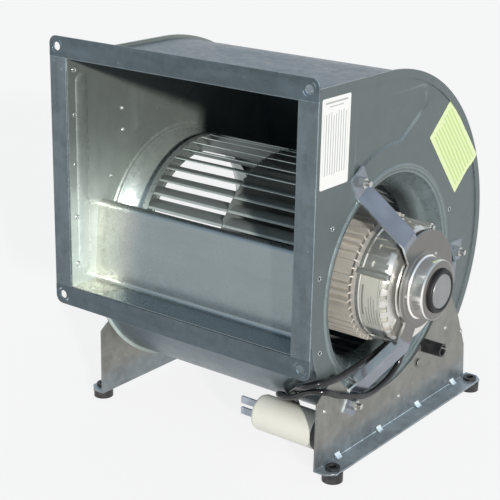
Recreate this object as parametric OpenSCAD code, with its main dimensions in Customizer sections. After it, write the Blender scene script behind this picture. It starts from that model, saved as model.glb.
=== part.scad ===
// Double-inlet centrifugal blower with a direct-drive motor hung in one inlet.
// Frame: X = 0 on the middle of the housing with the motor on the +X side, Y = 0 midway
// between the foot buffers with the outlet facing -Y, Z = 0 on the underside of the buffers.

/* [Housing] */
// Clear width between the two side plates
house_w = 298; // [270:1:330]
// Thickness of the side plates
plate_t = 1.2; // [1:0.1:2]
// Thickness of the scroll wrap and the cutoff plate
wrap_t = 1.2; // [1:0.1:2]
// Height of the fan shaft over the ground
shaft_z = 190; // [180:1:210]
// Distance of the fan shaft from the middle of the feet, towards the outlet
shaft_back = 31; // [20:1:40]
// Distance from the fan shaft to the outlet plane
outlet_dist = 179; // [172:1:200]
// Scroll radius straight in front of the shaft
scroll_r0 = 137.5; // [132:0.5:145]
// Growth of the scroll radius, as an exponent per radian
scroll_growth = 0.1013; // [0.09:0.0005:0.11]
// Clear height of the outlet
outlet_h = 254; // [240:1:262]
// Width of the side plate's rim outside the wrap
rim_w = 4; // [3:0.5:6]
// Height of the rolled rim over the side plate
rim_h = 1.4; // [0.8:0.1:2.5]
// Radius of the rounded cutoff nose
nose_r = 7; // [5:0.5:10]

/* [Inlets] */
// Radius where the inlet cone leaves the side plate
inlet_r = 118; // [114:0.5:122]
// Radial gap between the impeller's ring and the inlet throat
throat_gap = 1.8; // [1:0.1:4]
// Depth of the inlet cone behind the side plate
inlet_depth = 41; // [36:0.5:44]
// Width of the pressed bead round the inlet
bead_w = 6; // [4:0.5:8]
// Height of the pressed bead
bead_h = 1.7; // [1:0.1:2.5]

/* [Outlet flange] */
// Face width of the side strips
flange_w = 23; // [20:0.5:28]
// Face width of the top and bottom strips
flange_cross_w = 22; // [20:0.5:28]
// Thickness of the strips
flange_t = 1.5; // [1:0.1:2.5]
// Depth of the strips' legs along the duct
flange_leg = 14; // [8:1:20]
// Corner radius of the flange
flange_corner_r = 9; // [5:0.5:12]
// Radius of the corner holes
flange_hole_r = 4.5; // [3:0.1:5]
// Distance of the corner holes from the flange's outer edges
flange_hole_inset = 11; // [10:0.5:13]

/* [Impeller] */
// Outer radius of the blades
blade_tip_r = 114; // [110:0.5:118]
// Depth of the blades from root to tip
blade_depth = 15; // [12:0.5:16]
// Number of blades in each row
blade_count = 42; // [36:1:48]
// Thickness of the blades
blade_t = 0.7; // [0.5:0.1:1]
// Angle by which the blade tips lead their roots
blade_lead = 8; // [6:0.5:10]
// Overall width of the impeller over its end rings
impeller_w = 224; // [214:1:228]
// Thickness of the impeller's sheet-metal rings and centre disc
disc_t = 1.2; // [0.8:0.1:2]
// Length of the hub
hub_len = 34; // [28:1:40]
// Radius of the hub
hub_r = 17; // [15:0.5:22]

/* [Motor] */
// Radius of the motor's stator core
stator_r = 58; // [56:0.5:60]
// Length of the stator core
stator_len = 48; // [40:1:54]
// Radius of the rotor core
rotor_r = 34; // [30:0.5:38]
// Air gap between rotor and stator
air_gap = 0.5; // [0.4:0.1:0.8]
// Radius of the shaft
shaft_r = 7; // [6:0.5:8]
// Radial clearance of the shaft in its bearings
shaft_clear = 0.05; // [0.02:0.01:0.09]
// Outer radius of the bearings
bearing_r = 17.5; // [16:0.5:19]
// Width of a bearing
bearing_w = 11; // [9:0.5:13]
// Wall of the motor shells
shell_t = 4; // [3:0.5:5]
// Number of cooling fins on the drive-side shell
fin_count = 48; // [36:1:60]
// Thickness of the cooling fins
fin_t = 1.6; // [1.2:0.1:2]
// Height of the cooling fins
fin_h = 9; // [6:0.5:10]

/* [Spider] */
// Width of the spider's arms
arm_w = 24; // [18:1:30]
// Thickness of the spider's plate and arms
spider_t = 2.5; // [2:0.1:3]
// Distance of the arm bolt circle from the foot's cut-out
arm_bolt_gap = 13; // [12:0.5:16]
// Outer radius of the collar round the rubber ring
collar_r = 33.5; // [31:0.5:36]
// Height of the collar over the spider plate
collar_h = 19; // [15:0.5:22]
// Radius of the motor's boss in the rubber ring
boss_r = 19; // [18:0.5:21]

/* [Feet] */
// Length of a foot along the airflow
foot_len = 328; // [316:1:340]
// Thickness of the feet
foot_t = 2; // [1.5:0.1:3]
// Width of the foot's bottom flange
foot_flange_w = 24; // [22:0.5:30]
// Height of the foot's front corner over its flange
foot_front_h = 81; // [70:1:88]
// Gap between the inlet's bead and the foot's cut-out
foot_arc_gap = 4; // [2:0.5:6]
// Spacing of the buffers across the housing
buffer_dx = 328; // [326:1:334]
// Spacing of the buffers along the airflow
buffer_dy = 296; // [280:1:304]
// Radius of the rubber buffers
buffer_r = 11.3; // [9:0.1:12]
// Height of the buffers under the foot flange
buffer_h = 11; // [8:0.5:15]
// Radius of the bolt holes through the buffers
buffer_hole_r = 4.25; // [3:0.05:5]

/* [Capacitor] */
// Radius of the capacitor
cap_r = 20; // [17.5:0.5:22.5]
// Length of the capacitor with its base cap
cap_len = 91; // [70:1:95]

/* [Hidden] */
$fn = 64;

GALVANISED = [0.60, 0.64, 0.65];
BRIGHT_ZINC = [0.74, 0.77, 0.80];
ALUMINIUM = [0.78, 0.77, 0.74];
RUBBER = [0.07, 0.07, 0.08];
WHITE_PLASTIC = [0.88, 0.87, 0.82];

eps = 0.02;
axis_y = -shaft_back;
outlet_y = axis_y - outlet_dist;
half_w = house_w / 2;
plate_x = half_w + plate_t;
foot_x = plate_x + foot_t;
impeller_x = impeller_w / 2;
ring_in_x = impeller_x - disc_t;
blade_root_r = blade_tip_r - blade_depth;
throat_r = blade_root_r - throat_gap - plate_t;
foot_arc_r = inlet_r + bead_w + foot_arc_gap;
arm_bolt_r = foot_arc_r + arm_bolt_gap;

// ---- helpers ----

// A point at radius r and angle a round the fan shaft, as [y, z]
function polar(r, a) = [axis_y + r * cos(a), shaft_z + r * sin(a)];

// Scroll radius at the angle f, counted from the front over the bottom and the back
function scroll_r(f) = scroll_r0 * exp(scroll_growth * f * PI / 180);
function scroll_pt(f, out = 0) = polar(scroll_r(f) + out, 180 + f);

function seg_normal(p, q) = [p[1] - q[1], q[0] - p[0]] / norm(q - p);
function miter(a, b) = 2 * (a + b) / ((a + b) * (a + b));
function line_normal(p, i) =
    i == 0 ? seg_normal(p[0], p[1]) :
    i == len(p) - 1 ? seg_normal(p[i - 1], p[i]) :
    miter(seg_normal(p[i - 1], p[i]), seg_normal(p[i], p[i + 1]));

// Closed outline of a sheet whose two faces lie at a and b beside the line p
function ribbon(p, a, b) = concat(
    [for (i = [0 : len(p) - 1]) p[i] + a * line_normal(p, i)],
    [for (i = [len(p) - 1 : -1 : 0]) p[i] + b * line_normal(p, i)]);

// Extrudes a [y, z] outline along X
module along_x(x0, x1) {
    translate([x0, 0, 0]) rotate([90, 0, 90]) linear_extrude(x1 - x0) children();
}

// Puts a shape built on +Z onto the fan shaft, with +Z turned to +X
module on_shaft() {
    translate([0, axis_y, shaft_z]) rotate([0, 90, 0]) children();
}

// The same, turned so that local +X points along the angle a round the shaft
module at_angle(a) {
    on_shaft() rotate([0, 0, a + 90]) children();
}

module tube_x(x0, x1, r_out, r_in) {
    on_shaft() translate([0, 0, x0]) difference() {
        cylinder(h = x1 - x0, r = r_out);
        translate([0, 0, -1]) cylinder(h = x1 - x0 + 2, r = r_in);
    }
}

module mirror_x() {
    mirror([1, 0, 0]) children();
}

// ---- housing ----

scroll_step = 3;
top_f = 270 + atan(scroll_growth);
duct_top = shaft_z + scroll_r(top_f) * sin(180 + top_f);
duct_bottom = duct_top - outlet_h;
nose_f = -22;
wrap_end_f = 0;
scroll_fs = [for (i = [0 : floor(top_f / scroll_step)]) top_f - i * scroll_step];
wrap_line = concat([[outlet_y, duct_top]],
                   [for (f = scroll_fs) if (f > scroll_step / 2) scroll_pt(f)],
                   [scroll_pt(wrap_end_f)]);

module scroll_wrap() {
    color(GALVANISED)
    along_x(-half_w, half_w)
        polygon(ribbon(wrap_line, 0, wrap_t));
}

// The cutoff runs in from the outlet as a floor, bends up behind it, rounds the nose
// and comes back down to the wrap along the scroll
nose_c = scroll_pt(nose_f, nose_r);
nose_steps = 12;
lip_y = axis_y - scroll_r0 - wrap_t - 3.4;
lip_r = 5;
cutoff_line = concat(
    [[outlet_y, duct_bottom]],
    [for (i = [0 : 4])
        [lip_y - lip_r + lip_r * sin(22.5 * i), duct_bottom + lip_r * (1 - cos(22.5 * i))]],
    [for (i = [0 : nose_steps])
        let (a = 180 + i / nose_steps * (nose_f - 180))
        nose_c + nose_r * [cos(a), sin(a)]],
    [for (f = [nose_f + 5.5 : 5.5 : wrap_end_f]) scroll_pt(f)]);

module cutoff_plate() {
    color(GALVANISED)
    along_x(-half_w, half_w)
        polygon(ribbon(cutoff_line, 0, -wrap_t));
}

// Outline of a side plate, reaching the given width outside the wrap's inner face
function casing_outline(out) =
    let (low = duct_bottom - out,
         fs = [for (f = scroll_fs) if (scroll_pt(f, out)[1] < low || f > 30) f])
    concat([[outlet_y, duct_top + out]],
           [for (f = fs) scroll_pt(f, out)],
           [[scroll_pt(13, out)[0], low], [outlet_y, low]]);

// Half section of the inlet as [radius, x] along its outer face: bead, tight lip, cone
inlet_lip_r = 4;
inlet_cone_x = plate_x - inlet_lip_r;
inlet_cone_len = 0.62 * inlet_depth;
cone_steps = 8;
inlet_line = concat(
    [[inlet_r + bead_w + 4, plate_x]],
    [for (i = [0 : 6])
        [inlet_r + bead_w + 1 - i / 6 * bead_w, plate_x + bead_h * sin(180 * i / 6)]],
    [for (a = [0 : 15 : 75])
        [inlet_r - inlet_lip_r * sin(a), plate_x - inlet_lip_r * (1 - cos(a))]],
    [for (i = [1 : cone_steps])
        let (s = i / cone_steps, r1 = inlet_r - inlet_lip_r)
        [throat_r + (r1 - throat_r) * pow(1 - s, 1.7), inlet_cone_x - s * inlet_cone_len]],
    [[throat_r, plate_x - inlet_depth]]);

// Outline of the panel that is pressed into the plate over the inlet
press_d = 2;
panel_y0 = axis_y - 0.58 * arm_bolt_r;
panel_z1 = duct_top - 20;
panel_r = arm_bolt_r + 8;
panel_a0 = 180 - acos((axis_y - panel_y0) / panel_r);
panel_a1 = 86;
panel_steps = 12;
panel_tip = axis_y + 0.454 * arm_bolt_r;
panel_c = [axis_y - 9, panel_z1 - 36];
panel_slope = 0.9;
panel_line = concat(
    [[panel_y0, panel_z1]],
    [for (i = [0 : panel_steps])
        polar(panel_r, panel_a0 + i / panel_steps * (panel_a1 - panel_a0))],
    [[panel_tip - 3, panel_z1 - 22], [panel_tip, panel_z1 - 16], [panel_tip, panel_z1 - 9],
     [panel_tip - 5, panel_z1 - 3], [panel_tip - 13, panel_z1]]);

module panel_form(x1) {
    translate([x1 + eps, 0, 0]) mirror([1, 0, 0]) translate([0, panel_c[0], panel_c[1]])
        rotate([90, 0, 90]) linear_extrude(press_d + eps, scale = panel_slope)
            polygon([for (p = panel_line) p - panel_c]);
}

// The stiffening rib beside the outlet, with half-round ends
rib_y = outlet_y + 20;
rib_half_w = 9;
rib_z0 = duct_bottom + 19;
rib_z1 = duct_top - 26;
rib_steps = 6;
rib_arc = [for (i = [0 : rib_steps])
    let (a = 90 * i / rib_steps) [rib_half_w * cos(a), press_d * sin(a)]];

module rib_form(x1) {
    translate([x1, rib_y, 0]) {
        translate([0, 0, rib_z0]) linear_extrude(rib_z1 - rib_z0)
            polygon(concat([[eps, rib_half_w]], [for (p = rib_arc) [-p[1], p[0]]],
                           [for (i = [rib_steps : -1 : 0]) [-rib_arc[i][1], -rib_arc[i][0]]],
                           [[eps, -rib_half_w]]));
        for (z = [rib_z0, rib_z1])
            translate([0, 0, z]) rotate([0, -90, 0]) rotate_extrude()
                polygon(concat([[0, -eps], [rib_half_w, -eps]], rib_arc));
    }
}

// Small holes for the clips and cables of other models of this housing
clip_hole_r = 2;
clip_holes = [for (h = [[0.8, 144.2], [-1.3, 165.1], [-4, 199.6], [-8.6, 21.7],
                        [21.6, 125.7], [43, 121.5]])
    polar(arm_bolt_r + h[0], h[1])];

module side_plate(hole_angles) {
    rim_out = wrap_t + rim_w;
    difference() {
        union() {
            along_x(half_w, plate_x)
                polygon(casing_outline(rim_out));
            panel_form(half_w);
            rib_form(half_w);
            along_x(plate_x - eps, plate_x + rim_h) difference() {
                polygon(casing_outline(rim_out));
                translate([-2 * flange_leg, 0]) polygon(casing_outline(-rim_w));
                polygon(casing_outline(-rim_w));
                polygon(foot_outline);
            }
        }
        on_shaft() translate([0, 0, half_w - 1])
            cylinder(h = plate_t + 4, r = inlet_r + bead_w + 3, $fn = 128);
        bolt_holes(hole_angles);
        panel_form(plate_x);
        rib_form(plate_x);
        for (p = clip_holes)
            translate([half_w - 1, p[0], p[1]]) rotate([0, 90, 0])
                cylinder(h = plate_t + 2, r = clip_hole_r, $fn = 24);
    }
    on_shaft() rotate_extrude($fn = 128) polygon(ribbon(inlet_line, 0, plate_t));
}

module side_plate_right() {
    color(GALVANISED) side_plate(concat(arm_angles, [foot_bolt_angles[1]]));
}

module side_plate_left() {
    color(GALVANISED) mirror_x() side_plate(foot_bolt_angles);
}

// ---- outlet flange ----

duct_half_z = outlet_h / 2;
duct_mid_z = duct_bottom + duct_half_z;
flange_half_x = plate_x + flange_w;
flange_hole_x = flange_half_x - flange_hole_inset;
flange_hole_z = duct_half_z + wrap_t + flange_cross_w - flange_hole_inset;

// A face strip of the flange drawn in the outlet plane as [x, z]
module outlet_sheet(y0, y1) {
    translate([0, y1, duct_mid_z]) rotate([90, 0, 0]) linear_extrude(y1 - y0) children();
}

// Half moon slits round a corner hole
module knockout_slits() {
    for (a = [40, 220])
        rotate(a) intersection() {
            difference() {
                circle(r = flange_hole_r + 3.4);
                circle(r = flange_hole_r + 2.6);
            }
            translate([flange_hole_r + 3, 0]) square([6, 6], center = true);
        }
}

module cross_strip() {
    strip_z = duct_half_z + wrap_t;
    outlet_sheet(outlet_y - flange_t, outlet_y) difference() {
        union() {
            translate([-flange_half_x, strip_z])
                square([2 * flange_half_x, flange_cross_w - flange_corner_r]);
            translate([-flange_half_x + flange_corner_r, strip_z])
                square([2 * (flange_half_x - flange_corner_r), flange_cross_w]);
            for (s = [-1, 1])
                translate([s * (flange_half_x - flange_corner_r),
                           strip_z + flange_cross_w - flange_corner_r])
                    circle(r = flange_corner_r);
        }
        for (s = [-1, 1])
            translate([s * flange_hole_x, flange_hole_z]) {
                circle(r = flange_hole_r);
                knockout_slits();
            }
    }
    outlet_sheet(outlet_y - eps, outlet_y + flange_leg)
        translate([-half_w + 1, strip_z])
            square([2 * half_w - 2, flange_t]);
}

module flange_top() {
    color(GALVANISED) cross_strip();
}

module flange_bottom() {
    color(GALVANISED)
    translate([0, 0, 2 * duct_mid_z]) mirror([0, 0, 1]) cross_strip();
}

module side_strip() {
    strip_h = duct_half_z + wrap_t;
    outlet_sheet(outlet_y - flange_t, outlet_y)
        translate([plate_x, -strip_h])
            square([flange_w, 2 * strip_h]);
    outlet_sheet(outlet_y - eps, outlet_y + flange_leg)
        translate([plate_x, -strip_h + flange_leg])
            square([flange_t, 2 * (strip_h - flange_leg)]);
}

module flange_right() {
    color(GALVANISED) side_strip();
}

module flange_left() {
    color(GALVANISED) mirror_x() side_strip();
}

// ---- feet ----

arm_angles = [120, -2, 240];
foot_bolt_angles = [240, 300];
bolt_r = 3;
bolt_clear = 0.2;

module bolt_holes(angles) {
    for (a = angles)
        at_angle(a) translate([arm_bolt_r, 0, half_w - 1])
            cylinder(h = 10, r = bolt_r + bolt_clear, $fn = 32);
}

foot_half = foot_len / 2;
foot_top_z = buffer_h + foot_front_h;
foot_arc_a0 = 218;
foot_arc_a1 = 335;
foot_arc_n = 18;
foot_ear = polar(foot_arc_r, foot_arc_a1);
foot_outline = concat(
    [[-foot_half, buffer_h + foot_t], [-foot_half, foot_top_z - 3],
     [-foot_half + 3, foot_top_z]],
    [for (i = [0 : foot_arc_n])
        polar(foot_arc_r, foot_arc_a0 + i / foot_arc_n * (foot_arc_a1 - foot_arc_a0))],
    [[foot_ear[0] + 20, foot_ear[1] - 2], [foot_half - 36, foot_top_z + 9],
     [foot_half - 15, foot_top_z - 36], [foot_half - 10, buffer_h + foot_t]]);

buffer_neck_r = 6;
gusset_count = 4;
gusset_pitch = 82;
gusset_y0 = -124;
gusset_w = 9;
gusset_leg = 8;

module foot() {
    difference() {
        union() {
            along_x(plate_x, foot_x) polygon(foot_outline);
            translate([plate_x, -foot_half, buffer_h]) difference() {
                cube([foot_flange_w, foot_len, foot_t]);
                for (y = [0, foot_len])
                    translate([foot_flange_w, y, -1]) rotate([0, 0, 45])
                        cube([13, 13, 3 * foot_t], center = true);
            }
            for (i = [0 : gusset_count - 1])
                translate([foot_x - eps, gusset_y0 + i * gusset_pitch + gusset_w / 2,
                           buffer_h + foot_t - eps])
                    rotate([90, 0, 0]) linear_extrude(gusset_w)
                        polygon([[0, 0], [gusset_leg, 0], [gusset_leg * 0.55, gusset_leg * 0.2],
                                 [gusset_leg * 0.2, gusset_leg * 0.55], [0, gusset_leg]]);
        }
        bolt_holes(foot_bolt_angles);
        for (s = [-1, 1])
            translate([buffer_dx / 2, s * buffer_dy / 2, buffer_h - 1])
                cylinder(h = foot_t + 2, r = buffer_neck_r + 0.1);
    }
}

module foot_right() {
    color(GALVANISED) foot();
}

module foot_left() {
    color(GALVANISED) mirror_x() foot();
}

module foot_buffers() {
    color(RUBBER)
    for (x = [-1, 1], y = [-1, 1])
        translate([x * buffer_dx / 2, y * buffer_dy / 2, 0]) difference() {
            union() {
                cylinder(h = buffer_h, r = buffer_r);
                cylinder(h = buffer_h + foot_t, r = buffer_neck_r);
                translate([0, 0, buffer_h + foot_t]) cylinder(h = 3.2, r = 7.8);
            }
            translate([0, 0, -1]) cylinder(h = buffer_h + foot_t + 6, r = buffer_hole_r);
        }
}

// Hexagon head screw along +Z with its head below z = 0
module hex_screw(shank, head_r = 5.77, head_h = 4) {
    translate([0, 0, -head_h]) cylinder(h = head_h, r = head_r, $fn = 6);
    translate([0, 0, -eps]) cylinder(h = shank + eps, r = bolt_r, $fn = 32);
}

module hex_nut(h = 5) {
    difference() {
        cylinder(h = h, r = 5.77, $fn = 6);
        translate([0, 0, -1]) cylinder(h = h + 2, r = bolt_r + 0.02, $fn = 32);
    }
}

// Bolts that hold only a foot: both on the left, the rear one on the right
module foot_bolts() {
    color(BRIGHT_ZINC) {
        for (a = foot_bolt_angles)
            mirror_x() foot_bolt(a);
        foot_bolt(foot_bolt_angles[1]);
    }
}

module foot_bolt(a) {
    at_angle(a) translate([arm_bolt_r, 0, half_w]) {
        hex_screw(plate_t + foot_t + 9);
        translate([0, 0, plate_t + foot_t]) hex_nut();
    }
}

rivet_spots = [[99, 92], [139, 76], [-150, 76], [0, 40]];

module foot_rivets() {
    color(BRIGHT_ZINC)
    for (s = [0, 1]) mirror([s, 0, 0])
        for (p = rivet_spots)
            translate([foot_x, p[0], p[1]]) rotate([0, 90, 0])
                cylinder(h = 1, r1 = 2.6, r2 = 1.6, $fn = 24);
}

// ---- motor ----

spider_reach = 39.3;
spider_x = plate_x + spider_reach;
collar_top_x = spider_x + spider_t + collar_h;
motor_r = 64;
shell_end_x = spider_x - 3;
stator_x0 = 96;
stator_x1 = stator_x0 + stator_len;
drive_x = 58;
split_x = 148;
screw_angles = [for (i = [0 : 3]) 67.7 + 90 * i];
screw_ring_r = motor_r - 1;
pillar_r = 4.5;
pillar_x1 = split_x + 36;

shaft_x1 = collar_top_x - 10;
boss_face_x = collar_top_x - 5;

// Thin ribs stand between the screw pillars, except on the quarter with the nameplate
rib_angles = [for (q = [0, 2, 3], i = [1 : 4]) screw_angles[0] + 90 * q + 18 * i];
slot_angles = [for (q = [0, 2, 3], i = [0 : 4]) screw_angles[0] + 90 * q + 18 * i + 9];
vent_angles = [for (i = [0 : 5]) screw_angles[1] + 9 + 12 * i];
vent_x0 = split_x + 29;

module motor_end_shell() {
    color(ALUMINIUM) {
        difference() {
            on_shaft() rotate_extrude($fn = 96) polygon([
                [bearing_r, split_x + 22], [bearing_r, shell_end_x - 3],
                [shaft_r + 1, shell_end_x - 3], [shaft_r + 1, shaft_x1 + 1],
                [0, shaft_x1 + 1], [0, boss_face_x],
                [boss_r - 1, boss_face_x], [boss_r, boss_face_x - 1], [boss_r, shell_end_x],
                [motor_r - 22, shell_end_x], [motor_r - 20, shell_end_x - 2],
                [motor_r - 12, shell_end_x - 3], [motor_r - 4, split_x + 35],
                [motor_r - 1, vent_x0 + 2], [motor_r, vent_x0],
                [motor_r, split_x + 5], [motor_r + 1.5, split_x + 4],
                [motor_r + 1.5, split_x + 0.2],
                [stator_r - 6, split_x + 0.2], [stator_r - 6, split_x + 20],
                [bearing_r + 3, split_x + 24], [bearing_r + 3, split_x + 22]]);
            for (a = slot_angles)
                at_angle(a) translate([motor_r - 2, -2.8, split_x + 13]) cube([6, 5.6, 19]);
            for (a = vent_angles)
                at_angle(a) translate([motor_r - 6, -3.2, vent_x0 + 0.5]) cube([12, 6.4, 6]);
        }
        for (a = rib_angles)
            at_angle(a) translate([motor_r - 1, -0.8, split_x + 4]) cube([2.4, 1.6, 24]);
        for (a = screw_angles)
            at_angle(a) translate([screw_ring_r, 0, split_x + 0.2])
                cylinder(h = pillar_x1 - split_x - 0.2, r = pillar_r, $fn = 32);
    }
}

module motor_drive_shell() {
    color(ALUMINIUM) {
        on_shaft() rotate_extrude($fn = 96) polygon([
            [shaft_r + 1, drive_x - 8], [boss_r + 2, drive_x - 8], [boss_r + 4, drive_x],
            [stator_r, drive_x + 4], [stator_r + shell_t, drive_x + 10],
            [stator_r + shell_t, split_x - 5],
            [motor_r + 1.5, split_x - 5], [motor_r + 1.5, split_x], [stator_r, split_x],
            [stator_r, drive_x + 12], [bearing_r + 6, drive_x + 6], [bearing_r + 3, drive_x + 8],
            [bearing_r, drive_x + 8], [bearing_r, drive_x - 4], [shaft_r + 1, drive_x - 4]]);
        for (i = [0 : fin_count - 1])
            at_angle(i * 360 / fin_count)
                translate([stator_r + shell_t - 0.5, -fin_t / 2, drive_x + 12])
                    cube([fin_h + 0.5, fin_t, split_x - drive_x - 17]);
    }
}

module motor_screws() {
    color(BRIGHT_ZINC)
    for (a = screw_angles)
        at_angle(a) translate([screw_ring_r, 0, pillar_x1])
            cylinder(h = 3, r = 3, $fn = 6);
}

module stator_core() {
    color([0.35, 0.36, 0.38])
    tube_x(stator_x0, stator_x1, stator_r, rotor_r + air_gap);
}

module stator_windings() {
    color([0.62, 0.30, 0.14]) {
        tube_x(stator_x0 - 18, stator_x0, stator_r - 4, rotor_r + 4);
        tube_x(stator_x1, stator_x1 + 18, stator_r - 8, rotor_r + 4);
    }
}

bearing_x = [drive_x - 4, shell_end_x - 3 - bearing_w];

module bearings() {
    color([0.70, 0.71, 0.73])
    for (x = bearing_x)
        tube_x(x, x + bearing_w, bearing_r, shaft_r + shaft_clear);
}

shaft_x0 = -hub_len / 2 - 4;

module shaft() {
    color([0.66, 0.67, 0.69])
    on_shaft() translate([0, 0, shaft_x0]) cylinder(h = shaft_x1 - shaft_x0, r = shaft_r);
}

module rotor_core() {
    color([0.50, 0.51, 0.53])
    tube_x(stator_x0 - 2, stator_x1 + 2, rotor_r, shaft_r);
}

// ---- spider ----

// Section of an arm as [radius, x]; foot_face is the face that its tab lies on
function arm_line(foot_face) = [
    [arm_bolt_r + 12, foot_face], [arm_bolt_r - 14, foot_face], [arm_bolt_r - 21, foot_face + 5],
    [arm_root_r, spider_x], [collar_r - 4, spider_x]];
arm_root_r = collar_r + 35;

module spider_arm(a, foot_face) {
    at_angle(a) rotate([90, 0, 0]) translate([0, 0, -arm_w / 2])
        linear_extrude(arm_w) polygon(ribbon(arm_line(foot_face), 0, -spider_t));
}

// A stiffening edge, bent towards the housing along the slope of an arm
module arm_edge(a, foot_face) {
    at_angle(a) rotate([90, 0, 0]) translate([0, 0, arm_w / 2 - spider_t])
        linear_extrude(spider_t)
            polygon(ribbon([[arm_bolt_r - 23, foot_face + 6], [arm_root_r + 2, spider_x - 1]],
                           -1, arm_edge_w));
}
arm_edge_w = 7;
hub_plate_r = collar_r + 12;
wide_plate_r = collar_r + 28;

module motor_spider() {
    color(BRIGHT_ZINC) difference() {
        union() {
            spider_arm(arm_angles[0], plate_x);
            spider_arm(arm_angles[1], plate_x);
            spider_arm(arm_angles[2], foot_x);
            arm_edge(arm_angles[1], plate_x);
            arm_edge(arm_angles[2], foot_x);
            on_shaft() translate([0, 0, spider_x]) cylinder(h = spider_t, r = hub_plate_r);
            on_shaft() translate([0, 0, spider_x]) rotate(90) linear_extrude(spider_t)
                intersection() {
                    circle(r = wide_plate_r, $fn = 96);
                    polygon([[0, 0], for (a = [arm_angles[1] : 15.25 : arm_angles[0]])
                        1.1 * wide_plate_r * [cos(a), sin(a)]]);
                }
        }
        on_shaft() translate([0, 0, spider_x - 1]) cylinder(h = spider_t + 2, r = collar_r - 3);
        for (a = arm_angles)
            at_angle(a) translate([arm_bolt_r, 0, half_w - 1])
                cylinder(h = 12, r = bolt_r + bolt_clear, $fn = 32);
    }
}

module spider_collar() {
    x0 = spider_x + spider_t;
    color(BRIGHT_ZINC) on_shaft() rotate_extrude($fn = 96) polygon([
        [collar_r + 7, x0], [collar_r + 7, x0 + 1.5], [collar_r + 1.5, x0 + 1.5], [collar_r, x0 + 3],
        [collar_r, x0 + collar_h - 3], [collar_r - 1, x0 + collar_h - 1],
        [collar_r - 3, x0 + collar_h], [collar_r - 9, x0 + collar_h],
        [collar_r - 9, x0 + collar_h - 1.5], [collar_r - 3, x0 + collar_h - 1.5],
        [collar_r - 1.5, x0 + collar_h - 3], [collar_r - 1.5, x0]]);
}

module rubber_ring() {
    x0 = spider_x + spider_t;
    color(RUBBER) on_shaft() rotate_extrude($fn = 96) polygon([
        [boss_r + 0.05, x0], [collar_r - 1.55, x0], [collar_r - 1.55, x0 + collar_h - 3.3],
        [collar_r - 3.3, x0 + collar_h - 1.55], [boss_r + 0.05, x0 + collar_h - 1.55]]);
}

module spider_rivets() {
    color(BRIGHT_ZINC)
    for (a = [60, 180, 300])
        at_angle(a) translate([collar_r + 4.4, 0, spider_x + spider_t + 1.5])
            cylinder(h = 1.2, r1 = 2.2, r2 = 1.5, $fn = 24);
}

// The arm bolts come through from inside the housing and carry nuts on the arms' tabs
module arm_bolts() {
    color(BRIGHT_ZINC) {
        for (a = [arm_angles[0], arm_angles[1]])
            at_angle(a) translate([arm_bolt_r, 0, half_w])
                hex_screw(plate_t + spider_t + 12);
        at_angle(arm_angles[2]) translate([arm_bolt_r, 0, half_w])
            hex_screw(plate_t + foot_t + spider_t + 12);
    }
}

module arm_nuts() {
    color(BRIGHT_ZINC) {
        for (a = [arm_angles[0], arm_angles[1]])
            at_angle(a) translate([arm_bolt_r, 0, plate_x + spider_t]) hex_nut(6);
        at_angle(arm_angles[2]) translate([arm_bolt_r, 0, foot_x + spider_t]) hex_nut(6);
    }
}

// ---- impeller ----

module impeller_hub() {
    color([0.62, 0.63, 0.65]) on_shaft() difference() {
        union() {
            translate([0, 0, -hub_len / 2]) cylinder(h = hub_len, r = hub_r);
            translate([0, 0, -disc_t / 2 - 4]) cylinder(h = 4, r = hub_r + 14);
            translate([0, 0, disc_t / 2]) cylinder(h = 3, r = hub_r + 8);
        }
        translate([0, 0, -hub_len / 2 - 1]) cylinder(h = hub_len + 2, r = shaft_r);
        translate([0, 0, -hub_len / 2 + 7]) rotate([90, 0, 0])
            cylinder(h = hub_r + 2, r = 3, $fn = 32);
    }
}

module hub_screw() {
    color(BRIGHT_ZINC)
    on_shaft() translate([0, 0, -hub_len / 2 + 7]) rotate([90, 0, 0])
        translate([0, 0, shaft_r]) cylinder(h = hub_r - shaft_r - 1, r = 3, $fn = 32);
}

blade_pitch = 360 / blade_count;

module centre_disc() {
    color(GALVANISED) {
        tube_x(-disc_t / 2, disc_t / 2, blade_tip_r, hub_r);
        for (i = [0 : blade_count - 1])
            at_angle((i + 0.5) * blade_pitch + blade_lead)
                translate([blade_tip_r - 3, -1.6, -disc_t / 2]) cube([4.6, 3.2, disc_t]);
    }
}

blade_steps = 6;
function blade_pt(s) =
    let (r = blade_root_r + s * (blade_tip_r - blade_root_r), a = blade_lead * s * s)
    r * [cos(a), sin(a)];
blade_line = [for (i = [0 : blade_steps]) blade_pt(i / blade_steps)];

module blade_row() {
    color(BRIGHT_ZINC)
    for (i = [0 : blade_count - 1])
        at_angle(i * blade_pitch) translate([0, 0, disc_t / 2])
            linear_extrude(ring_in_x - disc_t / 2)
                polygon(ribbon(blade_line, -blade_t / 2, blade_t / 2));
}

module blades_right() {
    blade_row();
}

module blades_left() {
    mirror_x() blade_row();
}

module end_ring() {
    color(BRIGHT_ZINC) {
        on_shaft() rotate_extrude($fn = 128) polygon([
            [blade_root_r, ring_in_x], [blade_tip_r + 0.6, ring_in_x],
            [blade_tip_r + 0.6, ring_in_x - 6], [blade_tip_r + 1.5, ring_in_x - 6],
            [blade_tip_r + 1.5, impeller_x], [blade_root_r, impeller_x]]);
        for (i = [0 : blade_count - 1])
            at_angle(i * blade_pitch) translate([blade_root_r + 2, 0, impeller_x - eps])
                cube([tab_len, 3.2, blade_t]);
    }
}
tab_len = 0.55 * blade_depth;

module end_ring_right() {
    end_ring();
}

module end_ring_left() {
    mirror_x() end_ring();
}

// ---- capacitor ----

cap_y = -135;
cap_z = 42.5;
cap_base_len = 12;
cap_tab_len = 12;
cap_tab_pitch = 13;
cap_x0 = plate_x - cap_len;

module at_cap(x) {
    translate([x, cap_y, cap_z]) rotate([0, 90, 0]) children();
}

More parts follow.
